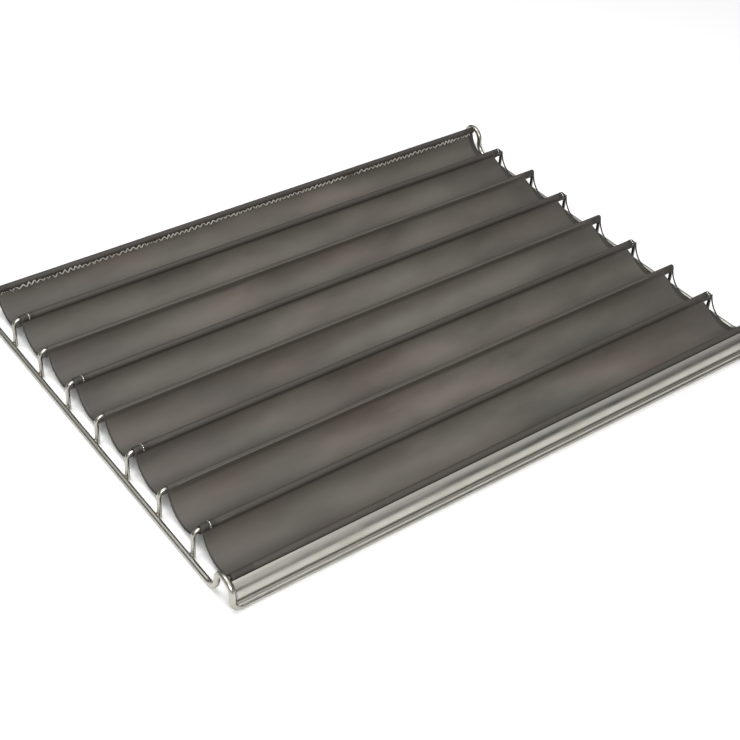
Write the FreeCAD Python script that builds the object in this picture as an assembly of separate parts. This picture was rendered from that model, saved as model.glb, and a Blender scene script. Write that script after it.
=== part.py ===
import FreeCAD, Part
import math
import os

# Baguette tray: a stainless wire frame that carries silicone-coated glass cloth in eight channels.
# Millimetres. +X along the channels, +Y across them towards the back, +Z up.
# The origin is on the standing surface, at the middle of the tray.

Vector = FreeCAD.Vector

# Driving dimensions
LENGTH = 800.0            # outside, along the channels
WIDTH = 600.0             # outside, across the channels
CHANNELS = 8
PITCH = 70.0              # from crest to crest
CREST_HEIGHT = 37.0       # axis of the crest wires above the standing surface
TROUGH_HEIGHT = 7.0       # underside of the cloth at the bottom of a channel
FRAME_WIRE = 7.0          # diameter of the end wires and lower rods
CREST_WIRE = 5.0          # diameter of the crest wires and top rods
SUPPORT_WIRE = 4.0        # diameter of the cross rods and posts under the cloth
CLOTH = 0.8               # thickness of the coated cloth
RAIL_SHEET = 1.0          # thickness of the front rail
CLEARANCE = 0.3           # between the cloth and the metal

# End wires and lower rods
FRAME_R = FRAME_WIRE / 2
END_X = LENGTH / 2 - FRAME_R
SIDE_Y = WIDTH / 2 - FRAME_R
CORNER_BEND = 12.0                      # bend from a lower rod up into a corner arch
ARCH_R = 15.0                           # top of a corner arch
ARCH_Z = CREST_HEIGHT + 0.5 - ARCH_R    # centre of a corner arch
ARCH_FOOT_R = 18.0                      # bend from a corner arch down to the floor-level run
ROD_END_X = END_X - CORNER_BEND

# Crest wires and top rods
CREST_R = CREST_WIRE / 2
CREST_BEND = 7.5                        # bend from a crest wire down into its leg
LEG_X = END_X - FRAME_R - CREST_R
LEG_BOTTOM = 1.5
CREST_YS = [PITCH * (k - CHANNELS / 2) for k in range(1, CHANNELS)]
BACK_EDGE_Y = PITCH * CHANNELS / 2
# The front channel is a little wider than the rest, so that its hem comes close to the rail's top edge.
FRONT_EDGE_Y = -BACK_EDGE_Y - 3.5
TOP_ROD_Z = CREST_HEIGHT - 1.0
TOP_ROD_END_X = END_X - FRAME_R

# Cross rods and posts
SUPPORT_R = SUPPORT_WIRE / 2
SUPPORT_XS = [-LENGTH / 6, LENGTH / 6]
CROSS_ROD_Z = SUPPORT_R + 2.0
CROSS_ROD_END_Y = SIDE_Y - FRAME_R

# Cloth
WRAP_R = CREST_R + CLEARANCE            # inside of the cloth where it passes over a wire
SLEEVE_R = WRAP_R + 1.2                 # outside of a sewn sleeve round a wire
SLEEVE_YS = CREST_YS[::2]
PLAIN_CREST_YS = CREST_YS[1::2]
SLEEVE_GAP = 0.2                        # between a panel's edge and a sleeve
CLOTH_LEFT = -LEG_X + 9.0
CLOTH_RIGHT = LEG_X - 0.8
SLEEVE_LEFT = -LEG_X + 8.0
SLEEVE_RIGHT = LEG_X - CREST_BEND + 1.0
HEM_END_X = TOP_ROD_END_X - 1.5
WINDOW_EDGE = 2.0                       # strip of cloth left between a window and the right edge
WINDOW_LENGTH = 15.0
WINDOW_TOP = CREST_HEIGHT - 4.0
WINDOW_BOTTOM = 13.0

# Retaining rings
RING_WIRE = 1.0
RING_R = SLEEVE_R + RING_WIRE / 2 + CLEARANCE / 2
RING_XS = [SLEEVE_LEFT + 11.5, SLEEVE_RIGHT - 3.0]
RING_ROOM_R = RING_R + RING_WIRE / 2 + SLEEVE_GAP

# Front rail: a curved sheet with its lower edge rolled into a round bead that stands on the lower rod
RAIL_OUT_Y = -WIDTH / 2 + 0.2           # the furthest out that the sheet bulges
RAIL_CURVE_R = 14.0
RAIL_CURVE_Z = 23.8                     # height of the furthest point
RAIL_LIP_ANGLE = 75.0                   # from the furthest point up to the top edge
RAIL_FOOT_ANGLE = 48.0                  # from the furthest point down to the bead
RAIL_BEAD_R = 3.5
RAIL_END_X = END_X - FRAME_R
RAIL_CORNER_R = CORNER_BEND - FRAME_R   # the lower corners follow the bends of the frame

OVERSHOOT = 1.0                         # how far a cutting shape passes the faces it cuts


def line(a, b):
    return Part.makeLine(Vector(*a), Vector(*b))


def arc(a, middle, b):
    return Part.Arc(Vector(*a), Vector(*middle), Vector(*b)).toShape()


def face_of(edges):
    return Part.Face(Part.Wire(Part.__sortEdges__(edges)))


def round_wire(edges, radius):
    """Sweep a circle along edges that meet end to end and tangentially."""
    start = edges[0].Vertexes[0].Point
    direction = edges[0].tangentAt(edges[0].FirstParameter)
    profile = Part.Wire([Part.makeCircle(radius, start, direction)])
    return Part.Wire(edges).makePipeShell([profile], True, False)


def rod(start, end, radius):
    along = Vector(*end) - Vector(*start)
    return Part.makeCylinder(radius, along.Length, Vector(*start), along)


def mirror_x(shape):
    return shape.mirror(Vector(0, 0, 0), Vector(1, 0, 0))


def arc_points(centre, radius, start_deg, sweep_deg, plane):
    """An arc as its start, middle and end point. plane names the two axes that it lies in."""
    points = []
    for part in (0.0, 0.5, 1.0):
        angle = math.radians(start_deg + sweep_deg * part)
        point = list(centre)
        point["xyz".index(plane[0])] += radius * math.cos(angle)
        point["xyz".index(plane[1])] += radius * math.sin(angle)
        points.append(tuple(point))
    return points


def end_wire_half(side):
    """Half of the left end wire: from a lower rod, over the corner arch, to the middle of the end."""
    y = side * SIDE_Y
    arch_y = y - side * ARCH_R
    inner_y = y - side * 2 * ARCH_R
    foot_y = inner_y - side * ARCH_FOOT_R
    outward = 90.0 - side * 90.0
    bend = arc_points((-ROD_END_X, y, FRAME_R + CORNER_BEND), CORNER_BEND, 270.0, -90.0, "xz")
    top = arc_points((-END_X, arch_y, ARCH_Z), ARCH_R, outward, side * 180.0, "yz")
    foot = arc_points((-END_X, foot_y, FRAME_R + ARCH_FOOT_R), ARCH_FOOT_R, outward, -side * 90.0, "yz")
    middle = (-END_X, 0, FRAME_R)
    edges = [
        arc(*bend), line(bend[2], top[0]), arc(*top),
        line(top[2], foot[0]), arc(*foot), line(foot[2], middle),
    ]
    return round_wire(edges, FRAME_R)


def end_wire():
    """The wire along the left end: two corner arches joined by a run on the floor."""
    return end_wire_half(-1).fuse(end_wire_half(1)).removeSplitter()


def lower_rod(side):
    y = side * SIDE_Y
    return rod((-ROD_END_X, y, FRAME_R), (ROD_END_X, y, FRAME_R), FRAME_R)


def crest_wire(y):
    """A crest wire with both ends bent down into legs that stand against the end wires."""
    bend = arc_points((-LEG_X + CREST_BEND, y, CREST_HEIGHT - CREST_BEND), CREST_BEND, 180.0, -90.0, "xz")
    edges = [line((-LEG_X, y, LEG_BOTTOM), bend[0]), arc(*bend), line(bend[2], (0, y, CREST_HEIGHT))]
    left = round_wire(edges, CREST_R)
    return left.fuse(mirror_x(left)).removeSplitter()


def top_rod(y):
    """The rod that carries an outer hem. Both ends meet the corner arches."""
    return rod((-TOP_ROD_END_X, y, TOP_ROD_Z), (TOP_ROD_END_X, y, TOP_ROD_Z), CREST_R)


def cross_rod(x):
    """A rod under the channels, from one lower rod to the other."""
    return rod((x, -CROSS_ROD_END_Y, CROSS_ROD_Z), (x, CROSS_ROD_END_Y, CROSS_ROD_Z), SUPPORT_R)


def support_post(x, y):
    """An upright from a cross rod to the underside of a crest wire that has no sleeve."""
    return rod((x, y, CROSS_ROD_Z + SUPPORT_R), (x, y, CREST_HEIGHT - CREST_R), SUPPORT_R)


def rail_sheet():
    """The front rail's curved sheet, from its top edge down to the bead."""
    centre = (-RAIL_END_X, RAIL_OUT_Y + RAIL_CURVE_R, RAIL_CURVE_Z)
    start = 180.0 - RAIL_LIP_ANGLE
    sweep = RAIL_LIP_ANGLE + RAIL_FOOT_ANGLE
    outside = arc_points(centre, RAIL_CURVE_R, start, sweep, "yz")
    inside = arc_points(centre, RAIL_CURVE_R - RAIL_SHEET, start, sweep, "yz")
    section = face_of([arc(*outside), line(outside[2], inside[2]), arc(*inside), line(inside[0], outside[0])])
    return section.extrude(Vector(2 * RAIL_END_X, 0, 0))


def rail_corner():
    """What is cut from the rail's lower left corner, so that it follows the bend of the frame."""
    y = RAIL_OUT_Y - OVERSHOOT
    centre = (-RAIL_END_X + RAIL_CORNER_R, y, FRAME_WIRE + RAIL_CORNER_R)
    curve = arc_points(centre, RAIL_CORNER_R, 180.0, 90.0, "xz")
    outer = (-RAIL_END_X - OVERSHOOT, y, FRAME_WIRE - OVERSHOOT)
    above = (outer[0], y, curve[0][2])
    below = (curve[2][0], y, outer[2])
    edges = [arc(*curve), line(curve[2], below), line(below, outer), line(outer, above), line(above, curve[0])]
    return face_of(edges).extrude(Vector(0, 2 * RAIL_CURVE_R, 0))


def front_side_rail():
    bead_z = FRAME_WIRE + RAIL_BEAD_R
    bead = rod((-RAIL_END_X, -SIDE_Y, bead_z), (RAIL_END_X, -SIDE_Y, bead_z), RAIL_BEAD_R)
    corner = rail_corner()
    return rail_sheet().fuse(bead).cut(corner).cut(mirror_x(corner))


def trough_arc(x, left_y, right_y, crest_r, bottom_z):
    """The arc that hangs between two crest circles and touches both, in the plane across the tray at x."""
    half = (right_y - left_y) / 2
    middle_y = (right_y + left_y) / 2
    rise = CREST_HEIGHT - bottom_z
    radius = (half ** 2 + rise ** 2 - crest_r ** 2) / (2 * (rise + crest_r))
    centre_z = bottom_z + radius
    scale = crest_r / math.hypot(half, centre_z - CREST_HEIGHT)
    touch_z = CREST_HEIGHT + (centre_z - CREST_HEIGHT) * scale
    first = (x, left_y + half * scale, touch_z)
    last = (x, right_y - half * scale, touch_z)
    return first, (x, middle_y, bottom_z), last


def cloth_face_line(x, crests, crest_r, bottom_z):
    """Edges of one face of the cloth, seen from the end, across the given crest lines."""
    edges = []
    last_end = None
    for left_y, right_y in zip(crests, crests[1:]):
        points = trough_arc(x, left_y, right_y, crest_r, bottom_z)
        if last_end:
            edges.append(arc(last_end, (x, left_y, CREST_HEIGHT + crest_r), points[0]))
        edges.append(arc(*points))
        last_end = points[2]
    return edges


def window(y):
    """What is cut from the front wall of a crest near its right end, where the wire's leg shows through."""
    right = CLOTH_RIGHT - WINDOW_EDGE
    far = y - PITCH / 2
    corners = [
        (right - WINDOW_LENGTH, far, WINDOW_TOP),
        (right, far, WINDOW_TOP),
        (right, far, WINDOW_BOTTOM),
    ]
    triangle = face_of([line(a, b) for a, b in zip(corners, corners[1:] + corners[:1])])
    return triangle.extrude(Vector(0, PITCH / 2, 0))


def ring_room(y):
    """The slots that the rings pass through, beside a sleeve."""
    half = RING_WIRE / 2 + SLEEVE_GAP
    return Part.makeCompound([
        rod((x - half, y, CREST_HEIGHT), (x + half, y, CREST_HEIGHT), RING_ROOM_R) for x in RING_XS
    ])


def cloth_panel(crests):
    """A panel of cloth that hangs from sleeve to sleeve, over any crest wire between them."""
    lower = cloth_face_line(CLOTH_LEFT, crests, WRAP_R, TROUGH_HEIGHT)
    upper = cloth_face_line(CLOTH_LEFT, crests, WRAP_R + CLOTH, TROUGH_HEIGHT + CLOTH)
    start = Part.makeLine(lower[0].Vertexes[0].Point, upper[0].Vertexes[0].Point)
    end = Part.makeLine(lower[-1].Vertexes[-1].Point, upper[-1].Vertexes[-1].Point)
    panel = face_of(lower + upper + [start, end]).extrude(Vector(CLOTH_RIGHT - CLOTH_LEFT, 0, 0))
    for y in crests[1:]:
        if y in CREST_YS:
            panel = panel.cut(window(y))
    for y in (crests[0], crests[-1]):
        z = CREST_HEIGHT if y in CREST_YS else TOP_ROD_Z
        panel = panel.cut(rod((-LEG_X, y, z), (LEG_X, y, z), SLEEVE_R + SLEEVE_GAP))
        if y in SLEEVE_YS:
            panel = panel.cut(ring_room(y))
    return max(panel.Solids, key=lambda solid: solid.Volume)


def sleeve(y, z, left, right):
    """A sewn tube of cloth round a wire. Its bore leaves the wire free."""
    tube = rod((left, y, z), (right, y, z), SLEEVE_R)
    bore = rod((left - OVERSHOOT, y, z), (right + OVERSHOOT, y, z), WRAP_R)
    return tube.cut(bore)


def retaining_ring(x, y):
    """A wire ring that holds a sleeve's end."""
    return Part.makeTorus(RING_R, RING_WIRE / 2, Vector(x, y, CREST_HEIGHT), Vector(1, 0, 0))


def export(name, shape):
    shape.exportStep(os.path.join("parts", name + ".step"))


def export_frame():
    left = end_wire()
    export("left_end_wire", left)
    export("right_end_wire", mirror_x(left))
    export("front_lower_rod", lower_rod(-1))
    export("back_lower_rod", lower_rod(1))
    export("front_top_rod", top_rod(FRONT_EDGE_Y))
    export("back_top_rod", top_rod(BACK_EDGE_Y))
    for number, y in enumerate(CREST_YS, 1):
        export("crest_wire_%d" % number, crest_wire(y))
    for number, x in enumerate(SUPPORT_XS, 1):
        export("cross_rod_%d" % number, cross_rod(x))
    posts = [support_post(x, y) for x in SUPPORT_XS for y in PLAIN_CREST_YS]
    export("support_posts", Part.makeCompound(posts))
    export("front_side_rail", front_side_rail())


def export_cloth():
    seams = [FRONT_EDGE_Y] + SLEEVE_YS + [BACK_EDGE_Y]
    crests = [FRONT_EDGE_Y] + CREST_YS + [BACK_EDGE_Y]
    for number, (first, last) in enumerate(zip(seams, seams[1:]), 1):
        between = [y for y in crests if first <= y <= last]
        export("cloth_panel_%d" % number, cloth_panel(between))
    for number, y in enumerate(SLEEVE_YS, 1):
        export("crest_sleeve_%d" % number, sleeve(y, CREST_HEIGHT, SLEEVE_LEFT, SLEEVE_RIGHT))
    export("front_hem", sleeve(FRONT_EDGE_Y, TOP_ROD_Z, -HEM_END_X, HEM_END_X))
    export("back_hem", sleeve(BACK_EDGE_Y, TOP_ROD_Z, -HEM_END_X, HEM_END_X))
    rings = [retaining_ring(x, y) for y in SLEEVE_YS for x in RING_XS]
    export("retaining_rings", Part.makeCompound(rings))


def main():
    os.makedirs("parts", exist_ok=True)
    export_frame()
    export_cloth()


main()
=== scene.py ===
import math
import random

import bpy
from mathutils import Matrix, Vector, noise


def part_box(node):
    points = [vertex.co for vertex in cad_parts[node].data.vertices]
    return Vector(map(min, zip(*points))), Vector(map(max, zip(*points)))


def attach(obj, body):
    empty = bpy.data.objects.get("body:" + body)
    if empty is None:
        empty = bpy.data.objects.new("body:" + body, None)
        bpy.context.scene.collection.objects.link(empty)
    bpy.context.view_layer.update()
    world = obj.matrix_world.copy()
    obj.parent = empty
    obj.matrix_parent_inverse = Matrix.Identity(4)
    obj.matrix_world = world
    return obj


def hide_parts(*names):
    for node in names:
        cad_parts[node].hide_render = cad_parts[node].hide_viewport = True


# Baguette tray: dark coated cloth in eight channels on a dull stainless wire frame.
# Metres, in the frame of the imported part. Places come from the boxes of its nodes.

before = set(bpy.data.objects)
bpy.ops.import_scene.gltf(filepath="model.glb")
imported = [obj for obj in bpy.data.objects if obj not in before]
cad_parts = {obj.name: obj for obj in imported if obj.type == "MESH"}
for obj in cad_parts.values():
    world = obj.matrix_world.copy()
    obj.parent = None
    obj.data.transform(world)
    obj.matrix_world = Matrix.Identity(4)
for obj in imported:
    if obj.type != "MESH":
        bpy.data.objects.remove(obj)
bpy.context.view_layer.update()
random.seed(7)

MM = 0.001

# Sizes of the cloth and its mesh
CLOTH = 0.8 * MM             # thickness
YARN = 1.0 * MM              # spacing of the weave
WIRE_GAP = 0.3 * MM          # between a wire and the cloth over it
STEP_X = 4.0 * MM            # spacing of the mesh along a channel
STEP_ACROSS = 2.6 * MM       # and across it
OVER_CREST = 8               # steps of the mesh over a crest
WINDOW_STEPS = 4             # and along a window
LEFT_HEM = 2.0 * MM          # folded edge across the left end of the cloth
RIGHT_HEM = 8.0 * MM         # and across its right end
EDGE_FOLD = 0.35 * MM        # how far a folded edge stands up
SAG_HEIGHT, SAG_SIZE = 0.55 * MM, 0.11
RIPPLE_HEIGHT, RIPPLE_SIZE = 0.30 * MM, 0.035
RIPPLE_SEED = 20             # keeps the ripples apart from the sags
FREE_POWER = 0.6             # how soon the cloth comes free of a crest
FRAY, FRAY_HILLS = 0.3 * MM, 60         # depth of the fray at a cut end, and its hills per metre
WINDOW_EDGE = 2.0 * MM       # strip of cloth between a window and the right edge
WINDOW_LENGTH = 15.0 * MM    # a window is a triangle cut from the front wall of a crest
WINDOW_TIP = 1.0 * MM        # its length at the foot
WINDOW_LOW = 13.0 * MM
WINDOW_HIGH = 33.0 * MM

# Sleeves
SLEEVE_ROWS, SLEEVE_SIDES = 190, 20
SLEEVE_SNUG = 0.45           # where it is snug, its share of the way from WRAP_R to SLEEVE_R
SLEEVE_BLACK_SHADE_END = 17.0 * MM  # black end of a sleeve: dark silicone, deepened with painted shade from inside its open end
DROOP_LENGTH = 27.0 * MM     # loose end of a sleeve
DROOP_POWER = 0.7
DROOP_NARROW = 0.18          # how much narrower and deeper the loose end is
DROOP_DEEP = 0.75
WRINKLE = 0.03               # share of the radius
WRINKLE_HILLS = (55, 1.2, 9)            # per metre along, per radian round, per metre across

# Stitches along the hems
STITCH_MARGIN = 5.0 * MM     # from each end of the cloth
STITCH_ROWS = (7.0 * MM, 1.6 * MM)      # down the cloth from the top rod
STITCH_WANDER = 0.8 * MM
STITCH_NEAR, STITCH_FAR = 2.4 * MM, 5.6 * MM
STITCH_SUNK, STITCH_SUNK_RANGE = 0.45 * MM, 1.9 * MM
STITCH_PROUD = 0.2 * MM
STITCH_BOW_OUT, STITCH_BOW_UP = 0.4 * MM, 0.2 * MM
STITCH_R, STITCH_SIDES = 1.0 * MM, 7
STITCH_HILLS = 34

# Seam threads along the crests
SEAM_STEPS = 160
SEAM_INSET, SEAM_SHORTER = 14.0 * MM, 40.0 * MM
SEAM_TURN = math.radians(50)            # from the top of a crest towards the front
SEAM_PROUD, SEAM_PROUD_MORE = 0.2 * MM, 0.1 * MM
SEAM_SINK, SEAM_WAVER = 0.9 * MM, 0.5 * MM
SEAM_HILLS = (14, 40)        # per metre along and across
SEAM_R, SEAM_SIDES = 0.32 * MM, 6

# Welds: half-widths along X, Y and Z, heights, and what spreads the seeds of their lumps
FOOT_WELD, FOOT_WELD_Z, FOOT_SEED = (2.0 * MM, 3.6 * MM, 2.9 * MM), 4.2 * MM, 90
TOP_WELD, TOP_SEED = (2.2 * MM, 3.4 * MM, 3.2 * MM), 50
CROSS_WELD, CROSS_WELD_Z, CROSS_SEED = (2.8 * MM, 1.4 * MM, 2.4 * MM), 4.0 * MM, 30
WELD_RINGS, WELD_SIDES = 9, 14
WELD_LUMP, WELD_HILLS = 0.22, 1.7

# Colours
BLACK_HEM_AND_SHADE = (0.022, 0.020, 0.016)       # the black ends of the cloth and the sleeves: doubled hems and dark silicone, deepened with painted shade
PAINTED_SHADE_COLOUR = (0.040, 0.035, 0.030)     # painted shade: the colour painted along the crest tops and towards both ends of the tray
STAIN_BROWN = (1.06, 0.97, 0.92)
STAIN_GREEN = (0.95, 1.0, 0.93)
DIRT_SHADE = (0.12, 0.10, 0.075)
WELD_DARK, WELD_LIGHT = (0.13, 0.11, 0.09), (0.34, 0.30, 0.25)
FLOOR_DARK, FLOOR_LIGHT = (0.90, 0.90, 0.905), (0.93, 0.93, 0.925)
SKY = (0.98, 0.99, 1.0, 1)

SEED_STEP = 7.31             # keeps the noise of two seeds apart

# Noise that colours the materials, in hills per metre
BLOTCHES, STAINS, GRAIN = 13.0, 7.0, 900.0
CLOUDS, DRAWING_LINES, SPOTS = 28.0, 420.0, 120.0
BURN, FUZZ, FLOOR_CLOUDS = 380.0, 1500.0, 1.5
MOTTLE_LOW, MOTTLE_HIGH = 0.35, 0.65    # a mottled colour turns over between these values

# Shares of one pattern against another, and how dark the painted shade and the black ends get
WEAVE_SHARE, MOTTLE_SHARE, LINE_SHARE = 0.55, 0.65, 0.5
PAINTED_CREST_DARKNESS, FALLOFF_SHADE_DARKNESS, BLACK_END_AND_SHADE_DARKNESS = 0.8, 0.45, 0.8
PAINTED_CREST_START, PAINTED_CREST_FULL = 6.0 * MM, 1.0 * MM      # painted shade along a crest starts, and is full, this far below the middle of a crest wire
PAINTED_CREST_UNEVEN = 10.0 * MM
FALLOFF_SHADE_START = 0.3            # painted shade towards the ends starts at this share of the way from the middle to an end
END_FADE, WINDOW_FADE = 1.0 * MM, 4.0 * MM

# Camera: place, then azimuth, elevation and roll in degrees
CAMERA_PLACE = (-0.8877, -1.0911, 1.0889)
CAMERA_TURN = (50.891, 39.385, 4.171)
LENS, SENSOR = 67.93, 36.0              # millimetres
FLOOR_HALF = 9.0

# Sockets of a Mix node that carry colours
COLOUR_A, COLOUR_B, COLOUR_OUT = 6, 7, 2


def node_box(name):
    low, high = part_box(name)
    return Vector(low), Vector(high)


def middle(name):
    low, high = node_box(name)
    return (low + high) / 2


# Sizes read from the frame
crest_low, crest_high = node_box("crest_wire_1")
WIRE_R = (crest_high.y - crest_low.y) / 2
CREST_Z = crest_high.z - WIRE_R
CREST_YS = [middle("crest_wire_%d" % number).y for number in range(1, 8)]
LEG_X = crest_high.x - WIRE_R
FRONT_Y = middle("front_top_rod").y
BACK_Y = middle("back_top_rod").y
TOP_ROD_Z = middle("back_top_rod").z
CROSS_ROD_XS = (middle("cross_rod_1").x, middle("cross_rod_2").x)
CROSS_ROD_END = node_box("cross_rod_1")[1].y
panel_low, panel_high = node_box("cloth_panel_2")
CLOTH_LEFT, CLOTH_RIGHT = panel_low.x, panel_high.x
CLOTH_MIDDLE = (CLOTH_LEFT + CLOTH_RIGHT) / 2
CLOTH_HALF = (CLOTH_RIGHT - CLOTH_LEFT) / 2
TROUGH_Z = panel_low.z
sleeve_low, sleeve_high = node_box("crest_sleeve_1")
SLEEVE_LEFT, SLEEVE_RIGHT = sleeve_low.x, sleeve_high.x
SLEEVE_R = (sleeve_high.y - sleeve_low.y) / 2
HEM_LEFT, HEM_RIGHT = node_box("back_hem")[0].x, node_box("back_hem")[1].x
LINES = [FRONT_Y] + CREST_YS + [BACK_Y]
SLEEVE_YS = CREST_YS[::2]
WRAP_R = WIRE_R + WIRE_GAP + CLOTH      # outside of the cloth where it passes over a wire


# ---------------------------------------------------------------- mesh helpers

def add_piece(name, vertices, faces, material, uvs=None):
    """A smooth mesh object on the root body. uvs holds one pair in metres for each vertex."""
    mesh = bpy.data.meshes.new(name)
    mesh.from_pydata([tuple(v) for v in vertices], [], faces)
    if uvs:
        layer = mesh.uv_layers.new(name="cloth")
        for loop in mesh.loops:
            layer.data[loop.index].uv = uvs[loop.vertex_index]
    mesh.polygons.foreach_set("use_smooth", [True] * len(mesh.polygons))
    mesh.materials.append(material)
    piece = bpy.data.objects.new(name, mesh)
    bpy.context.scene.collection.objects.link(piece)
    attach(piece, "root")
    return piece


def thicken(piece, offset):
    """Gives a sheet the thickness of the cloth. An offset of -1 adds it behind the faces, 1 in front."""
    solid = piece.modifiers.new("thickness", "SOLIDIFY")
    solid.thickness = CLOTH
    solid.offset = offset


def grid_faces(rows, columns, wrap=False):
    """Quads over a grid of rows x columns vertices. wrap joins the last column to the first."""
    faces = []
    across = columns if wrap else columns - 1
    for row in range(rows - 1):
        for column in range(across):
            a = row * columns + column
            b = row * columns + (column + 1) % columns
            faces.append((a, b, b + columns, a + columns))
    return faces


def tube(path, radius, sides):
    """Vertices and faces of a round tube along a path of points, closed at both ends."""
    vertices = []
    side = Vector((0, 0, 1))
    for index, point in enumerate(path):
        before = path[max(index - 1, 0)]
        after = path[min(index + 1, len(path) - 1)]
        along = (after - before).normalized()
        side = (side - along * side.dot(along)).normalized()
        other = along.cross(side)
        for k in range(sides):
            angle = 2 * math.pi * k / sides
            vertices.append(point + (side * math.cos(angle) + other * math.sin(angle)) * radius)
    faces = grid_faces(len(path), sides, wrap=True)
    faces.append(tuple(range(sides - 1, -1, -1)))
    last = (len(path) - 1) * sides
    faces.append(tuple(range(last, last + sides)))
    return vertices, faces


def merge(parts):
    """One list of vertices and one of faces from several."""
    vertices, faces = [], []
    for part_vertices, part_faces in parts:
        start = len(vertices)
        vertices += part_vertices
        faces += [tuple(start + index for index in face) for face in part_faces]
    return vertices, faces


def ripple(x, y, seed, size):
    """Smooth noise from -1 to 1 with hills about size apart along x and half of that across."""
    return noise.noise(Vector((x / size, 2 * y / size, seed * SEED_STEP)))


# ---------------------------------------------------------------- materials

def new_material(name):
    material = bpy.data.materials.new(name)
    material.use_nodes = True
    nodes = material.node_tree.nodes
    return material, nodes, material.node_tree.links, nodes["Principled BSDF"]


def math_node(nodes, links, operation, first, second=None):
    node = nodes.new("ShaderNodeMath")
    node.operation = operation
    for socket, value in zip(node.inputs, (first, second)):
        if hasattr(value, "is_output"):
            links.new(value, socket)
        elif value is not None:
            socket.default_value = value
    return node.outputs[0]


def mix_colour(nodes, links, factor, low, high):
    node = nodes.new("ShaderNodeMix")
    node.data_type = "RGBA"
    links.new(factor, node.inputs["Factor"])
    for socket, value in ((node.inputs[COLOUR_A], low), (node.inputs[COLOUR_B], high)):
        if hasattr(value, "is_output"):
            links.new(value, socket)
        else:
            socket.default_value = (*value, 1)
    return node.outputs[COLOUR_OUT]


def multiply_colour(nodes, links, first, second):
    node = nodes.new("ShaderNodeMix")
    node.data_type = "RGBA"
    node.blend_type = "MULTIPLY"
    node.inputs["Factor"].default_value = 1.0
    links.new(first, node.inputs[COLOUR_A])
    links.new(second, node.inputs[COLOUR_B])
    return node.outputs[COLOUR_OUT]


def ranged(nodes, links, value, low, high, from_low=0.0, from_high=1.0):
    node = nodes.new("ShaderNodeMapRange")
    links.new(value, node.inputs["Value"])
    node.inputs["From Min"].default_value = from_low
    node.inputs["From Max"].default_value = from_high
    node.inputs["To Min"].default_value = low
    node.inputs["To Max"].default_value = high
    return node.outputs["Result"]


def mottled(nodes, links, value):
    """Noise stretched so that the values about its middle cover 0 to 1."""
    return ranged(nodes, links, value, 0.0, 1.0, MOTTLE_LOW, MOTTLE_HIGH)


def weighted(nodes, links, first, share, second):
    """The sum of two patterns, with share of the first and the rest of the second."""
    one = math_node(nodes, links, "MULTIPLY", first, share)
    other = math_node(nodes, links, "MULTIPLY", second, 1 - share)
    return math_node(nodes, links, "ADD", one, other)


def axis_values(nodes, links, vector):
    node = nodes.new("ShaderNodeSeparateXYZ")
    links.new(vector, node.inputs[0])
    return node.outputs


def noise_node(nodes, links, vector, scale, detail=2.0, stretch=(1, 1, 1)):
    mapping = nodes.new("ShaderNodeMapping")
    mapping.inputs["Scale"].default_value = stretch
    links.new(vector, mapping.inputs["Vector"])
    node = nodes.new("ShaderNodeTexNoise")
    node.inputs["Scale"].default_value = scale
    node.inputs["Detail"].default_value = detail
    links.new(mapping.outputs["Vector"], node.inputs["Vector"])
    return node.outputs["Fac"]


def add_bump(nodes, links, shader, height, strength, distance):
    bump = nodes.new("ShaderNodeBump")
    bump.inputs["Strength"].default_value = strength
    bump.inputs["Distance"].default_value = distance
    links.new(height, bump.inputs["Height"])
    links.new(bump.outputs["Normal"], shader.inputs["Normal"])


def weave_height(nodes, links, vector):
    """Height of a plain weave, whose yarns go over and under in both directions."""
    axes = axis_values(nodes, links, vector)
    turn = math.pi / YARN
    along = math_node(nodes, links, "SINE", math_node(nodes, links, "MULTIPLY", axes["X"], turn))
    across = math_node(nodes, links, "SINE", math_node(nodes, links, "MULTIPLY", axes["Y"], turn))
    return math_node(nodes, links, "ABSOLUTE", math_node(nodes, links, "MULTIPLY", along, across))


def dark_ends(nodes, links, along, painted_crest_shade, dark_left, dark_right):
    """How dark the cloth is painted at its two ends, and over a crest beside its window, from 0 to 1: the
    black of doubled hems and dark silicone, deepened with painted shade.
    """
    left_end = CLOTH_LEFT + dark_left
    right_end = CLOTH_RIGHT - dark_right
    window_start = CLOTH_RIGHT - WINDOW_LENGTH
    left = ranged(nodes, links, along, BLACK_END_AND_SHADE_DARKNESS, 0.0, left_end, left_end + END_FADE)
    right = ranged(nodes, links, along, 0.0, BLACK_END_AND_SHADE_DARKNESS, right_end - END_FADE, right_end)
    crest_end = ranged(nodes, links, along, 0.0, 1.0, window_start - WINDOW_FADE, window_start)
    crest_end = math_node(nodes, links, "MULTIPLY", crest_end, painted_crest_shade)
    ends = math_node(nodes, links, "MAXIMUM", left, right)
    return math_node(nodes, links, "MAXIMUM", ends, crest_end)


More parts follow.
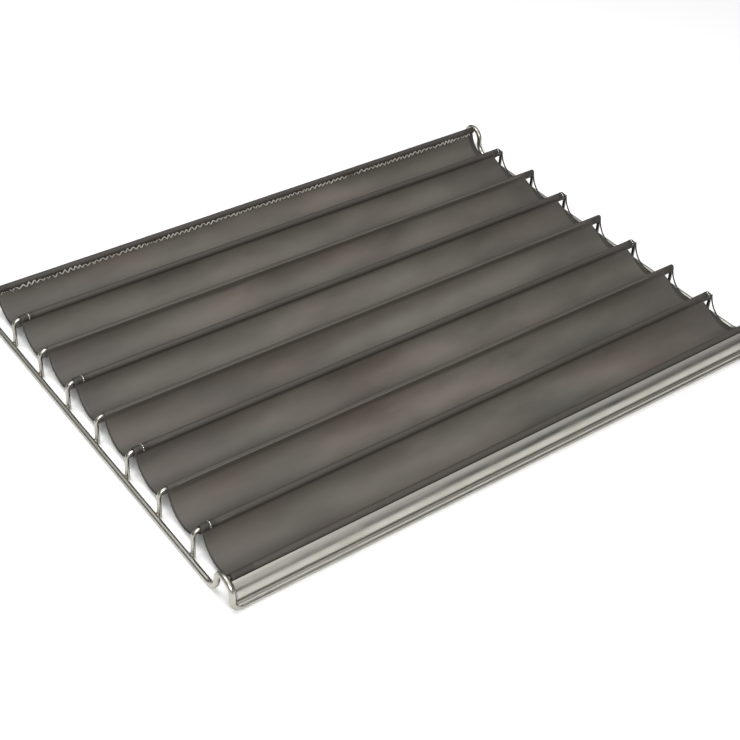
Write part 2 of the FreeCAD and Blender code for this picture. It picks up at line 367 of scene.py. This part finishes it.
def cloth_material(name, dark, light, roughness, dark_left, dark_right):
    """Coated glass cloth: fine plain weave, satin coating, stains, painted shade along the crest tops and
    towards both ends, and ends of the given lengths painted near black, deepened with painted shade.
    """
    material, nodes, links, shader = new_material(name)
    coordinates = nodes.new("ShaderNodeTexCoord")
    place = coordinates.outputs["Object"]
    weave = weave_height(nodes, links, coordinates.outputs["UV"])
    blotches = noise_node(nodes, links, place, BLOTCHES, detail=4.0, stretch=(0.5, 1.6, 1.0))
    stains = noise_node(nodes, links, place, STAINS, detail=3.0, stretch=(0.7, 2.2, 1.0))
    grain = noise_node(nodes, links, place, GRAIN)

    fine = weighted(nodes, links, weave, WEAVE_SHARE, grain)
    blend = weighted(nodes, links, mottled(nodes, links, blotches), MOTTLE_SHARE, fine)
    colour = mix_colour(nodes, links, blend, dark, light)
    stain = mix_colour(nodes, links, mottled(nodes, links, stains), STAIN_BROWN, STAIN_GREEN)
    colour = multiply_colour(nodes, links, colour, stain)

    axes = axis_values(nodes, links, place)
    # painted shade: the cloth is painted darker along the top of every crest, unevenly
    uneven = math_node(nodes, links, "SUBTRACT", blotches, 0.5)
    uneven = math_node(nodes, links, "MULTIPLY", uneven, PAINTED_CREST_UNEVEN)
    height = math_node(nodes, links, "ADD", axes["Z"], uneven)
    painted_crest_shade = ranged(nodes, links, height, 0.0, PAINTED_CREST_DARKNESS, CREST_Z - PAINTED_CREST_START, CREST_Z - PAINTED_CREST_FULL)
    colour = mix_colour(nodes, links, painted_crest_shade, colour, PAINTED_SHADE_COLOUR)
    # painted shade: less light falls towards both ends of the tray, so the cloth is painted darker there
    from_middle = math_node(nodes, links, "SUBTRACT", axes["X"], CLOTH_MIDDLE)
    reach = math_node(nodes, links, "ABSOLUTE", from_middle)
    falloff_shade = ranged(nodes, links, reach, 0.0, FALLOFF_SHADE_DARKNESS, CLOTH_HALF * FALLOFF_SHADE_START, CLOTH_HALF)
    colour = mix_colour(nodes, links, falloff_shade, colour, PAINTED_SHADE_COLOUR)
    # the ends are painted near black: doubled hems and dark silicone, deepened with painted shade
    ends = dark_ends(nodes, links, axes["X"], painted_crest_shade, dark_left, dark_right)
    colour = mix_colour(nodes, links, ends, colour, BLACK_HEM_AND_SHADE)
    links.new(colour, shader.inputs["Base Color"])

    dullness = ranged(nodes, links, blotches, low=roughness - 0.06, high=roughness + 0.08,
                      from_low=0.3, from_high=0.7)
    links.new(dullness, shader.inputs["Roughness"])
    shader.inputs["Specular IOR Level"].default_value = 0.45
    height = math_node(nodes, links, "ADD", weave, math_node(nodes, links, "MULTIPLY", grain, 0.5))
    add_bump(nodes, links, shader, height, strength=0.35, distance=0.12 * MM)
    return material


def steel_material(name, colour, roughness, grain_stretch, tarnish, dirt):
    """Dull stainless steel with drawing lines along the grain, cloudy tarnish and a little baked-on dirt."""
    material, nodes, links, shader = new_material(name)
    place = nodes.new("ShaderNodeTexCoord").outputs["Object"]
    clouds = noise_node(nodes, links, place, CLOUDS, detail=4.0)
    lines = noise_node(nodes, links, place, DRAWING_LINES, detail=3.0, stretch=grain_stretch)
    spots = noise_node(nodes, links, place, SPOTS, detail=3.0)
    patchy = ranged(nodes, links, clouds, low=0.0, high=1.0, from_low=0.35, from_high=0.7)
    base = mix_colour(nodes, links, patchy, colour, tuple(c * t for c, t in zip(colour, tarnish)))
    speck = ranged(nodes, links, spots, low=0.0, high=dirt, from_low=0.6, from_high=0.78)
    base = mix_colour(nodes, links, speck, base, DIRT_SHADE)
    links.new(base, shader.inputs["Base Color"])
    shader.inputs["Metallic"].default_value = 1.0
    wear = weighted(nodes, links, lines, LINE_SHARE, clouds)
    dullness = ranged(nodes, links, wear, low=roughness - 0.08, high=roughness + 0.12,
                      from_low=0.35, from_high=0.65)
    links.new(dullness, shader.inputs["Roughness"])
    add_bump(nodes, links, shader, lines, strength=0.12, distance=0.05 * MM)
    return material


def weld_material():
    """Rough weld metal with a dark heat tint."""
    material, nodes, links, shader = new_material("weld_metal")
    place = nodes.new("ShaderNodeTexCoord").outputs["Object"]
    burn = noise_node(nodes, links, place, BURN, detail=3.0)
    tint = mottled(nodes, links, burn)
    links.new(mix_colour(nodes, links, tint, WELD_DARK, WELD_LIGHT), shader.inputs["Base Color"])
    shader.inputs["Metallic"].default_value = 0.85
    links.new(ranged(nodes, links, burn, low=0.35, high=0.62), shader.inputs["Roughness"])
    add_bump(nodes, links, shader, burn, strength=0.5, distance=0.3 * MM)
    return material


def thread_material(name, dark, light):
    """Glass sewing thread with a fine fuzz."""
    material, nodes, links, shader = new_material(name)
    place = nodes.new("ShaderNodeTexCoord").outputs["Object"]
    fuzz = noise_node(nodes, links, place, FUZZ)
    links.new(mix_colour(nodes, links, fuzz, dark, light), shader.inputs["Base Color"])
    links.new(ranged(nodes, links, fuzz, low=0.6, high=0.85), shader.inputs["Roughness"])
    add_bump(nodes, links, shader, fuzz, strength=0.4, distance=0.1 * MM)
    return material


CLOTH_MAT = cloth_material("coated_cloth", dark=(0.054, 0.048, 0.043), light=(0.122, 0.111, 0.100),
                           roughness=0.55, dark_left=LEFT_HEM, dark_right=RIGHT_HEM)
SLEEVE_MAT = cloth_material("sleeve_cloth", dark=(0.026, 0.023, 0.020), light=(0.046, 0.041, 0.036),
                            roughness=0.6, dark_left=SLEEVE_BLACK_SHADE_END, dark_right=RIGHT_HEM)
WIRE_MAT = steel_material("drawn_wire", colour=(0.44, 0.43, 0.39), roughness=0.32,
                          grain_stretch=(1, 1, 1), tarnish=(0.80, 0.78, 0.74), dirt=0.15)
CREST_MAT = steel_material("crest_wire_steel", colour=(0.42, 0.41, 0.375), roughness=0.30,
                           grain_stretch=(0.05, 1, 1), tarnish=(0.80, 0.78, 0.74), dirt=0.15)
RAIL_MAT = steel_material("rail_sheet", colour=(0.42, 0.41, 0.375), roughness=0.34,
                          grain_stretch=(0.02, 1, 1), tarnish=(0.90, 0.89, 0.86), dirt=0.08)
RING_MAT = steel_material("ring_wire", colour=(0.70, 0.68, 0.63), roughness=0.22,
                          grain_stretch=(1, 1, 1), tarnish=(0.9, 0.88, 0.85), dirt=0.05)
WELD_MAT = weld_material()
THREAD_MAT = thread_material("sewing_thread", dark=(0.22, 0.205, 0.185), light=(0.44, 0.42, 0.39))
SEAM_MAT = thread_material("seam_thread", dark=(0.09, 0.08, 0.062), light=(0.18, 0.165, 0.13))


# ---------------------------------------------------------------- frame

def dress_frame():
    """The metal nodes keep their CAD shape and get their finish."""
    finishes = {"rail": RAIL_MAT, "ring": RING_MAT, "crest_wire": CREST_MAT, "rod": CREST_MAT}
    for name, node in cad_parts.items():
        material = next((finish for key, finish in finishes.items() if key in name), WIRE_MAT)
        node.data.materials.clear()
        node.data.materials.append(material)


def weld_bead(centre, size, seed):
    """An uneven lump of weld metal about a centre. size is its half-width along each axis."""
    vertices = []
    for row in range(WELD_RINGS):
        tilt = math.pi * row / (WELD_RINGS - 1)
        for k in range(WELD_SIDES):
            turn = 2 * math.pi * k / WELD_SIDES
            way = Vector((math.sin(tilt) * math.cos(turn), math.sin(tilt) * math.sin(turn), math.cos(tilt)))
            lump = 1 + WELD_LUMP * noise.noise(way * WELD_HILLS + Vector((seed, 0, 0)))
            vertices.append(centre + Vector(a * b for a, b in zip(way, size)) * lump)
    return vertices, grid_faces(WELD_RINGS, WELD_SIDES, wrap=True)


def weld_spots():
    """Welds at the legs' feet, at the ends of the cross rods and where the top rods meet the arches."""
    beads = []
    for side in (-1, 1):
        for y in CREST_YS:
            centre = Vector((side * (LEG_X + WIRE_R), y, FOOT_WELD_Z))
            beads.append(weld_bead(centre, FOOT_WELD, y * FOOT_SEED + side))
        for y in (FRONT_Y, BACK_Y):
            centre = Vector((side * (LEG_X + WIRE_R), y, TOP_ROD_Z))
            beads.append(weld_bead(centre, TOP_WELD, y * TOP_SEED + side))
    for side in (-1, 1):
        for x in CROSS_ROD_XS:
            centre = Vector((x, side * CROSS_ROD_END, CROSS_WELD_Z))
            beads.append(weld_bead(centre, CROSS_WELD, x * CROSS_SEED + side))
    vertices, faces = merge(beads)
    return add_piece("weld_beads", vertices, faces, WELD_MAT)


# ---------------------------------------------------------------- cloth

def hang(left_y, right_y):
    """Centre height, radius and half angle of the arc that hangs between two crest lines."""
    half = (right_y - left_y) / 2
    low = TROUGH_Z + CLOTH
    rise = CREST_Z - low
    radius = (half ** 2 + rise ** 2 - WRAP_R ** 2) / (2 * (rise + WRAP_R))
    centre_z = low + radius
    spread = math.atan2(half, centre_z - CREST_Z)
    return centre_z, radius, spread


def section(lines):
    """Points across a panel: (y, z, normal, length along the cloth, how freely it hangs from 0 to 1)."""
    points, length = [], 0.0
    for left_y, right_y in zip(lines, lines[1:]):
        centre_z, radius, spread = hang(left_y, right_y)
        if points:
            for k in range(1, OVER_CREST):
                angle = spread - 2 * spread * k / OVER_CREST
                normal = Vector((0, -math.sin(angle), math.cos(angle)))
                y = left_y - WRAP_R * math.sin(angle)
                z = CREST_Z + WRAP_R * math.cos(angle)
                points.append((y, z, normal, length + (spread - angle) * WRAP_R, 0.0))
            length += 2 * spread * WRAP_R
        count = int(2 * spread * radius / STEP_ACROSS)
        for k in range(count + 1):
            angle = spread * (2 * k / count - 1)
            normal = Vector((0, -math.sin(angle), math.cos(angle)))
            y = (left_y + right_y) / 2 + radius * math.sin(angle)
            z = centre_z - radius * math.cos(angle)
            free = math.sin(math.pi * k / count) ** FREE_POWER
            points.append((y, z, normal, length + (angle + spread) * radius, free))
        length += 2 * spread * radius
    return points, length


def columns_at(z):
    """X of the mesh columns at a height. Two of them follow the long and the upright side of a window."""
    lift = min(max((z - WINDOW_LOW) / (WINDOW_HIGH - WINDOW_LOW), 0.0), 1.0)
    right = CLOTH_RIGHT - WINDOW_EDGE
    left = right - WINDOW_TIP - (WINDOW_LENGTH - WINDOW_TIP) * lift
    count = int((right - WINDOW_LENGTH - CLOTH_LEFT) / STEP_X)
    xs = [CLOTH_LEFT + (left - CLOTH_LEFT) * k / count for k in range(count + 1)]
    xs += [left + (right - left) * k / WINDOW_STEPS for k in range(1, WINDOW_STEPS + 1)]
    return xs + [CLOTH_RIGHT]


def in_window(low_point, high_point, crests):
    """True for a row of the mesh that crosses a window, on the front wall of a crest."""
    y, z = low_point[0], low_point[1]
    front_wall = any(0 < crest - y < (CREST_YS[1] - CREST_YS[0]) / 2 for crest in crests)
    return front_wall and z > WINDOW_LOW and high_point[1] < WINDOW_HIGH


def frayed(x, xs, number, along):
    """X of a point of the mesh. The two cut ends are drawn in a little, unevenly."""
    fray = abs(FRAY * noise.noise(Vector((number, along * FRAY_HILLS, x))))
    if x == xs[0]:
        return x + fray
    return x - fray if x == xs[-1] else x


def panel(number, lines):
    """One panel of cloth, hung from line to line, as a closed thin sheet with slight sags and ripples."""
    points, length = section(lines)
    vertices, uvs = [], []
    for y, z, normal, along, free in points:
        xs = columns_at(z)
        for x in xs:
            sag = SAG_HEIGHT * ripple(x, y, number, SAG_SIZE)
            small = RIPPLE_HEIGHT * ripple(x, y, number + RIPPLE_SEED, RIPPLE_SIZE)
            near_end = x < CLOTH_LEFT + LEFT_HEM or x > CLOTH_RIGHT - RIGHT_HEM
            out = (sag + small + (EDGE_FOLD if near_end else 0.0)) * free
            vertices.append(Vector((frayed(x, xs, number, along), y, z)) + normal * out)
            uvs.append((x, along))
    columns = len(columns_at(0.0))
    window_start = columns - WINDOW_STEPS - 2
    crests = [y for y in lines[1:] if y in CREST_YS]
    faces = []
    for face in grid_faces(len(points), columns):
        row, column = divmod(face[0], columns)
        beside_edge = window_start <= column < window_start + WINDOW_STEPS
        if not (beside_edge and in_window(points[row], points[row + 1], crests)):
            faces.append(face)
    piece = add_piece("cloth_%d" % number, vertices, faces, CLOTH_MAT, uvs)
    thicken(piece, -1 if piece.data.polygons[0].normal.z > 0 else 1)
    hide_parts("cloth_panel_%d" % number)
    return piece, length


def sleeve(name, node, y, z, ends, droop_length):
    """A sewn tube of cloth round a wire. Over droop_length from each end it is looser and hangs lower."""
    left, right = ends
    vertices, uvs = [], []
    for row in range(SLEEVE_ROWS):
        x = left + (right - left) * (row / (SLEEVE_ROWS - 1))
        gap = min(x - left, right - x)
        droop = max(0.0, 1 - gap / droop_length) ** DROOP_POWER if droop_length else 0.0
        radius = WRAP_R + (SLEEVE_R - WRAP_R) * (SLEEVE_SNUG + (1 - SLEEVE_SNUG) * droop)
        for k in range(SLEEVE_SIDES):
            turn = 2 * math.pi * k / SLEEVE_SIDES
            below = max(-math.cos(turn), 0.0)
            place = Vector(a * b for a, b in zip((x, turn, y), WRINKLE_HILLS))
            wrinkle = 1 + WRINKLE * noise.noise(place)
            dy = math.sin(turn) * radius * (1 - DROOP_NARROW * droop * below) * wrinkle
            dz = math.cos(turn) * radius * (1 + DROOP_DEEP * droop * (below > 0)) * wrinkle
            vertices.append(Vector((x, y + dy, z + dz)))
            uvs.append((x, turn * radius))
    faces = grid_faces(SLEEVE_ROWS, SLEEVE_SIDES, wrap=True)
    piece = add_piece(name, vertices, faces, SLEEVE_MAT, uvs)
    thicken(piece, -1)
    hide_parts(node)
    return piece


def zigzag(side):
    """An uneven zigzag stitch just below an outer hem. Its loops sink into the cloth in places."""
    lines = LINES[-2:] if side > 0 else LINES[:2]
    centre_z, radius, spread = hang(*lines)
    centre_y = (lines[0] + lines[1]) / 2
    path = []
    x = CLOTH_LEFT + STITCH_MARGIN
    while x < CLOTH_RIGHT - STITCH_MARGIN:
        drop = STITCH_ROWS[len(path) % 2] + random.uniform(-STITCH_WANDER, STITCH_WANDER)
        angle = side * (spread - drop / radius)
        sunk = STITCH_SUNK + STITCH_SUNK_RANGE * noise.noise(Vector((x * STITCH_HILLS, side, 5.0)))
        inner = radius - STITCH_PROUD + sunk
        path.append(Vector((x, centre_y + inner * math.sin(angle), centre_z - inner * math.cos(angle))))
        x += random.uniform(STITCH_NEAR, STITCH_FAR)
    runs = []
    for start, end in zip(path, path[1:]):
        bow = (start + end) / 2 + Vector((0, -side * STITCH_BOW_OUT, STITCH_BOW_UP))
        points = [start, (start + bow) / 2, bow, (bow + end) / 2, end]
        runs.append(tube(points, STITCH_R, STITCH_SIDES))
    vertices, faces = merge(runs)
    name = "back_hem_stitches" if side > 0 else "front_hem_stitches"
    return add_piece(name, vertices, faces, THREAD_MAT)


def crest_seams():
    """A pale seam thread along the front of every crest, proud at the left and sunk at the right."""
    parts = []
    for y in CREST_YS:
        path = []
        for k in range(SEAM_STEPS + 1):
            share = k / SEAM_STEPS
            x = SLEEVE_LEFT + SEAM_INSET + (CLOTH_RIGHT - SLEEVE_LEFT - SEAM_SHORTER) * share
            waver = noise.noise(Vector((x * SEAM_HILLS[0], y * SEAM_HILLS[1], 2.0)))
            sunk = SEAM_SINK * share + SEAM_WAVER * waver
            out = SLEEVE_R + SEAM_PROUD - max(sunk, -SEAM_PROUD_MORE)
            path.append(Vector((x, y - out * math.sin(SEAM_TURN), CREST_Z + out * math.cos(SEAM_TURN))))
        parts.append(tube(path, SEAM_R, SEAM_SIDES))
    vertices, faces = merge(parts)
    return add_piece("crest_seams", vertices, faces, SEAM_MAT)


def make_cloth():
    seams = [FRONT_Y] + SLEEVE_YS + [BACK_Y]
    for number, y in enumerate(SLEEVE_YS, 1):
        sleeve("sleeve_%d" % number, "crest_sleeve_%d" % number, y, CREST_Z,
                              (SLEEVE_LEFT, SLEEVE_RIGHT), DROOP_LENGTH)
    front_hem = sleeve("front_hem_tube", "front_hem", FRONT_Y, TOP_ROD_Z, (HEM_LEFT, HEM_RIGHT), 0)
    back_hem = sleeve("back_hem_tube", "back_hem", BACK_Y, TOP_ROD_Z, (HEM_LEFT, HEM_RIGHT), 0)
    stitches = {-1: zigzag(-1), 1: zigzag(1)}
    crest_seams()
    for number, (first, last) in enumerate(zip(seams, seams[1:]), 1):
        lines = [y for y in LINES if first - MM <= y <= last + MM]
        piece, length = panel(number, lines)


# ---------------------------------------------------------------- studio

def look_matrix(azimuth, elevation, roll):
    """Camera axes that look along an azimuth (0 is +X, 90 is +Y), down by elevation, turned by roll."""
    a, e, r = (math.radians(v) for v in (azimuth, elevation, roll))
    forward = Vector((math.cos(e) * math.cos(a), math.cos(e) * math.sin(a), -math.sin(e)))
    level = Vector((math.sin(a), -math.cos(a), 0))
    upright = level.cross(forward)
    right = level * math.cos(r) + upright * math.sin(r)
    up = upright * math.cos(r) - level * math.sin(r)
    return Matrix((right, up, -forward)).transposed()


def make_camera():
    data = bpy.data.cameras.new("camera")
    data.lens = LENS
    data.sensor_width = SENSOR
    camera = bpy.data.objects.new("camera", data)
    camera.matrix_world = Matrix.Translation(CAMERA_PLACE) @ look_matrix(*CAMERA_TURN).to_4x4()
    bpy.context.scene.collection.objects.link(camera)
    bpy.context.scene.camera = camera


def area_light(name, place, size, power, colour):
    """A rectangular light that faces the middle of the tray."""
    data = bpy.data.lights.new(name, "AREA")
    data.shape = "RECTANGLE"
    data.size, data.size_y = size
    data.energy = power
    data.color = colour
    light = bpy.data.objects.new(name, data)
    light.location = place
    light.rotation_euler = (-Vector(place)).to_track_quat("-Z", "Y").to_euler()
    bpy.context.scene.collection.objects.link(light)


def make_floor():
    mesh = bpy.data.meshes.new("floor")
    corners = [(x * FLOOR_HALF, y * FLOOR_HALF, 0) for x, y in ((-1, -1), (1, -1), (1, 1), (-1, 1))]
    mesh.from_pydata(corners, [], [(0, 1, 2, 3)])
    material, nodes, links, shader = new_material("white_floor")
    place = nodes.new("ShaderNodeTexCoord").outputs["Object"]
    soft = noise_node(nodes, links, place, FLOOR_CLOUDS)
    links.new(mix_colour(nodes, links, soft, FLOOR_DARK, FLOOR_LIGHT), shader.inputs["Base Color"])
    shader.inputs["Roughness"].default_value = 0.75
    mesh.materials.append(material)
    floor = bpy.data.objects.new("floor", mesh)
    bpy.context.scene.collection.objects.link(floor)


def make_world():
    """A studio that is dark near the floor line and bright overhead, so that round metal gets a dark band."""
    world = bpy.data.worlds.new("studio")
    world.use_nodes = True
    nodes, links = world.node_tree.nodes, world.node_tree.links
    axes = axis_values(nodes, links, nodes.new("ShaderNodeTexCoord").outputs["Generated"])
    background = nodes["Background"]
    background.inputs["Color"].default_value = SKY
    strength = ranged(nodes, links, axes["Z"], low=0.10, high=0.95, from_low=0.45, from_high=0.85)
    links.new(strength, background.inputs["Strength"])
    bpy.context.scene.world = world


def make_studio():
    make_floor()
    make_world()
    area_light("key", place=(-0.5, 0.2, 2.4), size=(1.2, 1.2), power=34, colour=(1.0, 0.995, 0.98))
    area_light("front", place=(-1.3, -2.6, 2.1), size=(2.6, 1.0), power=90, colour=(1.0, 0.99, 0.975))
    bpy.context.scene.view_settings.view_transform = "Standard"
    make_camera()


dress_frame()
weld_spots()
make_cloth()
make_studio()
